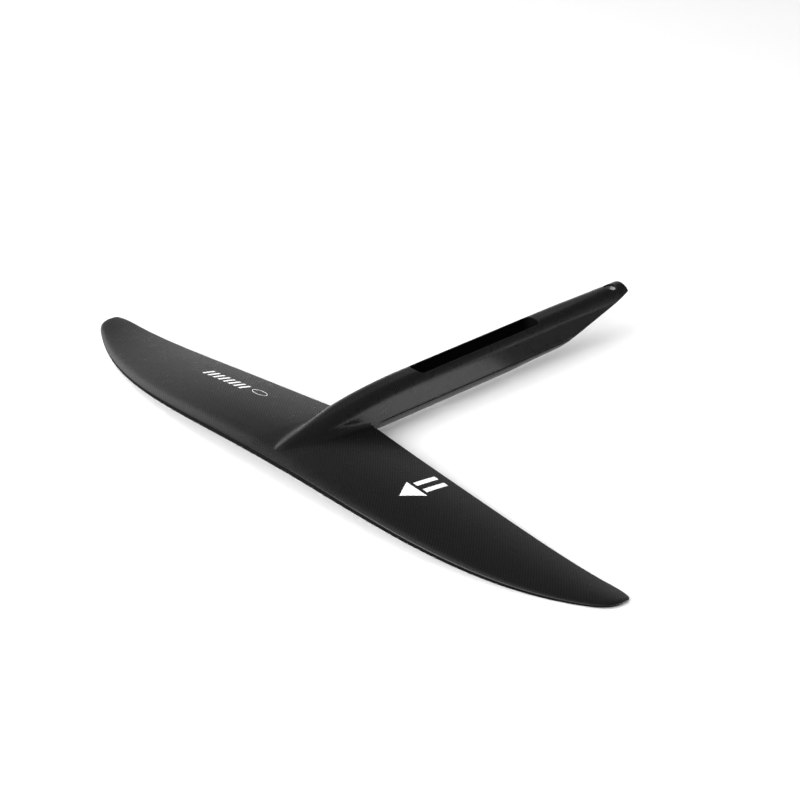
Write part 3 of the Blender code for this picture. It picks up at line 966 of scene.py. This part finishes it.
def add_mark(name, outlines, material):
    """Thin white print that follows the wing's upper face. outlines are flat polygons in (x, y)."""
    shape = bmesh.new()
    for outline in outlines:
        shape.faces.new([shape.verts.new((x, y, 0)) for x, y in outline])
    for axis in (0, 1):
        values = [vertex.co[axis] for vertex in shape.verts]
        for place in np.arange(min(values) + MARK_GRID, max(values), MARK_GRID):
            normal, spot = [0, 0, 0], [0, 0, 0]
            normal[axis], spot[axis] = 1, place
            geometry = shape.verts[:] + shape.edges[:] + shape.faces[:]
            bmesh.ops.bisect_plane(shape, geom=geometry, dist=1e-7, plane_co=spot, plane_no=normal)
    for vertex in shape.verts:
        vertex.co.z = wing_height(vertex.co.x, vertex.co.y) - MARK_PROUD
    made = bmesh.ops.extrude_face_region(shape, geom=shape.faces[:], use_keep_orig=True)
    for item in made["geom"]:
        if isinstance(item, bmesh.types.BMVert):
            item.co.z += 2 * MARK_PROUD
    for vertex in shape.verts:
        vertex.co.y -= POCKET_Y
    bmesh.ops.recalc_face_normals(shape, faces=shape.faces)
    mesh = bpy.data.meshes.new(name)
    shape.to_mesh(mesh)
    shape.free()
    obj = add_piece(name, mesh, material)
    return obj


def bar(center, size, slant=0.0):
    """Upright bar, its length along y and its width along x, leaning by slant."""
    x, y = center
    length, width = size
    half, lean = width / 2, slant * length / 2
    ends = ((-half - lean, -length / 2), (half - lean, -length / 2))
    return [(x + dx, y + dy) for dx, dy in ends] + [(x - dx, y - dy) for dx, dy in ends]


def oval(center, size, angles):
    """Points of an oval about center with the two half axes of size."""
    return [(center[0] + size[0] * math.cos(a), center[1] + size[1] * math.sin(a)) for a in angles]


def ring_outlines(center, size, thick, steps=40):
    """Oval ring as a run of small quads."""
    angles = np.linspace(0, 2 * math.pi, steps + 1)
    outer = oval(center, size, angles)
    inner = oval(center, (size[0] - thick, size[1] - thick), angles)
    return [[outer[n], outer[n + 1], inner[n + 1], inner[n]] for n in range(steps)]


def make_marks(material):
    """Plain marks: a forward arrow on the right half, and a row of bars with an oval on the left."""
    x, y = ARROW_PLACE
    base = y - ARROW_BASE
    head = [(x - ARROW_HALF_WIDTH, base), (x, y - ARROW_TIP), (x + ARROW_HALF_WIDTH, base)]
    shafts = [bar((x + sign * SHAFT_OFFSET, y + SHAFT_BACK), SHAFT_SIZE) for sign in (-1, 1)]
    places = [(BARS_START + BAR_STEP * n, BARS_Y) for n in range(BAR_COUNT)]
    return [
        add_mark("mark_arrow", [head, *shafts], material),
        add_mark("mark_bars", [bar(place, BAR_SIZE, BAR_SLANT) for place in places], material),
        add_mark("mark_oval", ring_outlines(OVAL_PLACE, OVAL_SIZE, OVAL_LINE), material),
    ]


# Stage.


def flat_sheet(name, first, second, z, material):
    """Level rectangle between two corners, as a piece of the stage."""
    (x0, y0), (x1, y1) = first, second
    mesh = bpy.data.meshes.new(name)
    mesh.from_pydata([(x0, y0, z), (x1, y0, z), (x1, y1, z), (x0, y1, z)], [], [(0, 1, 2, 3)])
    mesh.materials.append(material)
    sheet = bpy.data.objects.new(name, mesh)
    bpy.context.scene.collection.objects.link(sheet)
    sheet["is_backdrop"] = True
    return sheet


def make_stage():
    """White paper floor just under the lowest point."""
    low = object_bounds()[0].z - FLOOR_GAP
    near, far = (-FLOOR_REACH, -FLOOR_REACH), (FLOOR_REACH, FLOOR_REACH)
    return flat_sheet("floor", near, far, low, floor_paper())


def make_softbox(name, heading, height, radiance, size, distance=2.5):
    """Soft area light seen from the part at a compass heading (0 is +Y, 90 is +X) and a height angle."""
    a, e = math.radians(heading), math.radians(height)
    place = distance * Vector((math.sin(a) * math.cos(e), math.cos(a) * math.cos(e), math.sin(e)))
    data = bpy.data.lights.new(name, "AREA")
    data.shape = "RECTANGLE"
    data.size, data.size_y = size
    data.energy = WATTS_PER_RADIANCE * size[0] * size[1] * radiance
    light = bpy.data.objects.new(name, data)
    light.location = place
    light.rotation_euler = (-place).to_track_quat("-Z", "Y").to_euler()
    light.visible_camera = False
    bpy.context.scene.collection.objects.link(light)
    return light


def make_lights(pale):
    """Large boxes to the left and in front, a weak one overhead, and fills for the pale things alone."""
    make_softbox("box_left", heading=-97, height=20, radiance=0.92, size=(2.0, 2.2))
    make_softbox("box_front", heading=178, height=25, radiance=4.5, size=(2.4, 1.4))
    make_softbox("box_top", heading=-150, height=68, radiance=0.7, size=(1.2, 1.2))
    fills = [
        make_softbox("pale_fill_top", heading=0, height=89, radiance=0.85, size=(6.0, 6.0), distance=4.0),
        make_softbox("pale_fill_front", heading=134, height=30, radiance=3.6, size=(2.6, 2.0), distance=4.0),
    ]
    group = bpy.data.collections.new("pale_only")
    for obj in pale:
        group.objects.link(obj)
    for fill in fills:
        fill.light_linking.receiver_collection = group


def make_flag():
    """Grey card on the floor beside the tail, unseen by the camera, that keeps its glare off the tail."""
    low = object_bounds()[0].z + FLAG_LIFT
    flag = flat_sheet("flag", *FLAG_CORNERS, low, flag_cloth())
    flag.visible_camera = False
    flag.visible_shadow = False
    flag.visible_diffuse = False


def fade(tree, source, band, first, last):
    """source eased from first at the start of the band to last at its end."""
    node = tree.nodes.new("ShaderNodeMapRange")
    node.interpolation_type = "SMOOTHSTEP"
    for socket, value in zip(("From Min", "From Max", "To Min", "To Max"), (*band, first, last)):
        node.inputs[socket].default_value = value
    tree.links.new(source, node.inputs["Value"])
    return node.outputs["Result"]


def make_world():
    """Light grey low in the sky round one heading, and dark everywhere else."""
    world = bpy.data.worlds.new("studio")
    world.use_nodes = True
    bpy.context.scene.world = world
    tree = world.node_tree
    background = tree.nodes["Background"]
    background.inputs["Color"].default_value = (1, 1, 1, 1)
    sky = tree.nodes.new("ShaderNodeTexCoord").outputs["Generated"]
    split = tree.nodes.new("ShaderNodeSeparateXYZ")
    tree.links.new(sky, split.inputs[0])
    toward = tree.nodes.new("ShaderNodeVectorMath")
    toward.operation = "DOT_PRODUCT"
    tree.links.new(sky, toward.inputs[0])
    heading = math.radians(BRIGHT_HEADING)
    toward.inputs[1].default_value = (math.sin(heading), math.cos(heading), 0)
    both = tree.nodes.new("ShaderNodeMath")
    both.operation = "MULTIPLY"
    tree.links.new(fade(tree, split.outputs["Z"], HEIGHT_BAND, 1.0, 0.0), both.inputs[0])
    tree.links.new(fade(tree, toward.outputs["Value"], HEADING_BAND, 0.0, 1.0), both.inputs[1])
    level = tree.nodes.new("ShaderNodeMath")
    level.operation = "MULTIPLY_ADD"
    tree.links.new(both.outputs[0], level.inputs[0])
    level.inputs[1].default_value = HORIZON_LEVEL
    level.inputs[2].default_value = SKY_LEVEL
    tree.links.new(level.outputs[0], background.inputs["Strength"])


def make_camera():
    """Camera in front of the right tip, above the part."""
    data = bpy.data.cameras.new("camera")
    data.lens = CAMERA_LENS
    data.sensor_width = SENSOR_WIDTH
    camera = bpy.data.objects.new("camera", data)
    a, e = CAMERA_AZIMUTH, CAMERA_ELEVATION
    right = Vector((math.cos(a), math.sin(a), 0))
    back = Vector((math.sin(a) * math.cos(e), -math.cos(a) * math.cos(e), math.sin(e)))
    up = back.cross(right)
    turn = Matrix.Rotation(CAMERA_ROLL, 3, "Z")
    axes = Matrix((right, up, back)).transposed() @ turn
    camera.matrix_world = Matrix.Translation(CAMERA_PLACE) @ axes.to_4x4()
    bpy.context.scene.collection.objects.link(camera)
    bpy.context.scene.camera = camera


def dress_inner_nodes(nodes):
    """Gives the cores, edge strips and spar, which stay as the CAD has them, their materials."""
    looks = {"core": foam(), "strip": edge_resin(), "spar": spar_laminate()}
    for name, node in nodes.items():
        for key, look in looks.items():
            if key in name:
                node.data.materials.clear()
                node.data.materials.append(look)


def main():
    for thing in list(bpy.data.objects):
        bpy.data.objects.remove(thing, do_unlink=True)
    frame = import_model()
    make_camera()
    # The pocket's pieces share a darker laminate, painted shade inside the pocket.
    pocket_painted_shade = pocket_laminate()
    # A band of painted shade along the leading edge.
    nose_shade_band = painted_nose_shade()
    make_upper_shell(nose_shade_band)
    make_lower_shell(nose_shade_band)
    make_pocket_tub(pocket_painted_shade)
    make_seat_plate(pocket_painted_shade)
    make_tail_block(tail_laminate())
    make_bushes(turned_steel())
    marks = make_marks(print_white())
    dress_inner_nodes(frame["nodes"])
    make_world()
    make_flag()
    make_lights([make_stage(), *marks])
    bpy.context.scene.view_settings.view_transform = "Standard"
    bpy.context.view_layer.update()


main()
